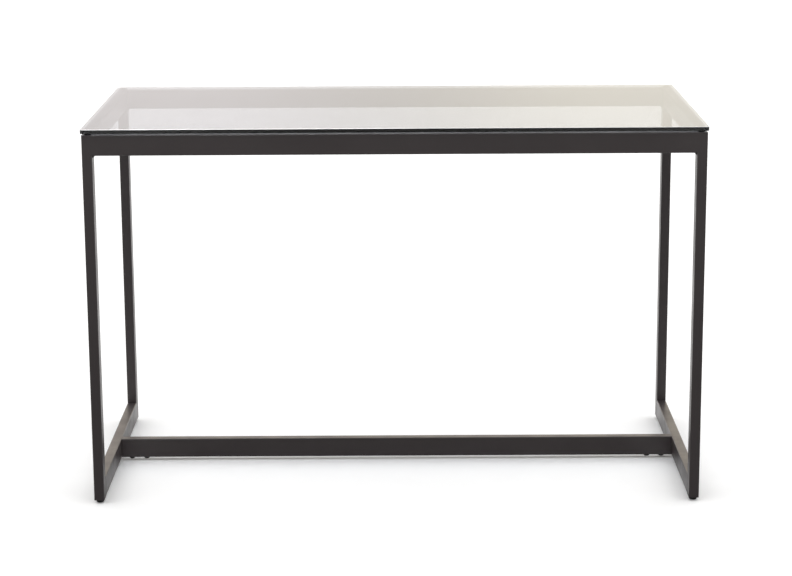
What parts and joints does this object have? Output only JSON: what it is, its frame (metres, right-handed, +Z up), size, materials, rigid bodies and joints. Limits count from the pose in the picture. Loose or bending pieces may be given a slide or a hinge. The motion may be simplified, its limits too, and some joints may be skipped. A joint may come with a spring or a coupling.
{
  "type": "computer desk",
  "caption": "Rectangular computer desk: smoked glass top on rubber pads over a slim dark steel tube frame, with side rails, a low middle stretcher and screw-adjustable levelling feet.",
  "frame": {"origin": "on the floor, under the middle of the desk", "axes": "+X to the right along the desk, +Y to the back, +Z up; the user sits on the -Y side"},
  "size_m": [1.204, 0.604, 0.75],
  "materials": {
    "frame_coat": "satin powder coat, warm anthracite",
    "smoked_glass": "polished smoked float glass",
    "pad_rubber": "matt black",
    "glide_plastic": "moulded, lightly textured",
    "zinc_steel": "bright zinc plated",
    "screw_steel": "black zinc plated"
  },
  "bodies": {
    "frame": {"front_left_leg": "frame_coat", "front_left_leg_cap": "frame_coat", "front_left_nut_plate": "frame_coat", "front_left_weld": "frame_coat", "front_left_pad": "pad_rubber", "front_right_leg": "frame_coat", "front_right_leg_cap": "frame_coat", "front_right_nut_plate": "frame_coat", "front_right_weld": "frame_coat", "front_right_pad": "pad_rubber", "front_rail": "frame_coat", "rear_left_leg": "frame_coat", "rear_left_leg_cap": "frame_coat", "rear_left_nut_plate": "frame_coat", "rear_left_weld": "frame_coat", "rear_left_pad": "pad_rubber", "rear_right_leg": "frame_coat", "rear_right_leg_cap": "frame_coat", "rear_right_nut_plate": "frame_coat", "rear_right_weld": "frame_coat", "rear_right_pad": "pad_rubber", "rear_rail": "frame_coat", "left_top_rail": "frame_coat", "left_top_rail_front_tongue": "zinc_steel", "left_top_rail_front_screw_1": "screw_steel", "left_top_rail_rear_tongue": "zinc_steel", "left_top_rail_rear_screw_1": "screw_steel", "left_bottom_rail": "frame_coat", "left_bottom_rail_front_tongue": "zinc_steel", "left_bottom_rail_front_screw_1": "screw_steel", "left_bottom_rail_rear_tongue": "zinc_steel", "left_bottom_rail_rear_screw_1": "screw_steel", "right_top_rail": "frame_coat", "right_top_rail_front_tongue": "zinc_steel", "right_top_rail_front_screw_1": "screw_steel", "right_top_rail_rear_tongue": "zinc_steel", "right_top_rail_rear_screw_1": "screw_steel", "right_bottom_rail": "frame_coat", "right_bottom_rail_front_tongue": "zinc_steel", "right_bottom_rail_front_screw_1": "screw_steel", "right_bottom_rail_rear_tongue": "zinc_steel", "right_bottom_rail_rear_screw_1": "screw_steel", "stretcher": "frame_coat", "stretcher_left_tongue": "zinc_steel", "stretcher_left_screw_1": "screw_steel", "stretcher_left_screw_2": "screw_steel", "stretcher_right_tongue": "zinc_steel", "stretcher_right_screw_1": "screw_steel", "stretcher_right_screw_2": "screw_steel", "glass_top": "smoked_glass"},
    "front_left_foot": {"front_left_glide": "glide_plastic", "front_left_stud": "zinc_steel"},
    "front_right_foot": {"front_right_glide": "glide_plastic", "front_right_stud": "zinc_steel"},
    "rear_left_foot": {"rear_left_glide": "glide_plastic", "rear_left_stud": "zinc_steel"},
    "rear_right_foot": {"rear_right_glide": "glide_plastic", "rear_right_stud": "zinc_steel"}
  },
  "joints": [
    {"name": "front_left_foot_height", "type": "slide", "parent": "frame", "child": "front_left_foot", "axis": [0, 0, -1], "range_m": [0, 0.01]},
    {"name": "front_right_foot_height", "type": "slide", "parent": "frame", "child": "front_right_foot", "axis": [0, 0, -1], "range_m": [0, 0.01]},
    {"name": "rear_left_foot_height", "type": "slide", "parent": "frame", "child": "rear_left_foot", "axis": [0, 0, -1], "range_m": [0, 0.01]},
    {"name": "rear_right_foot_height", "type": "slide", "parent": "frame", "child": "rear_right_foot", "axis": [0, 0, -1], "range_m": [0, 0.01]}
  ]
}
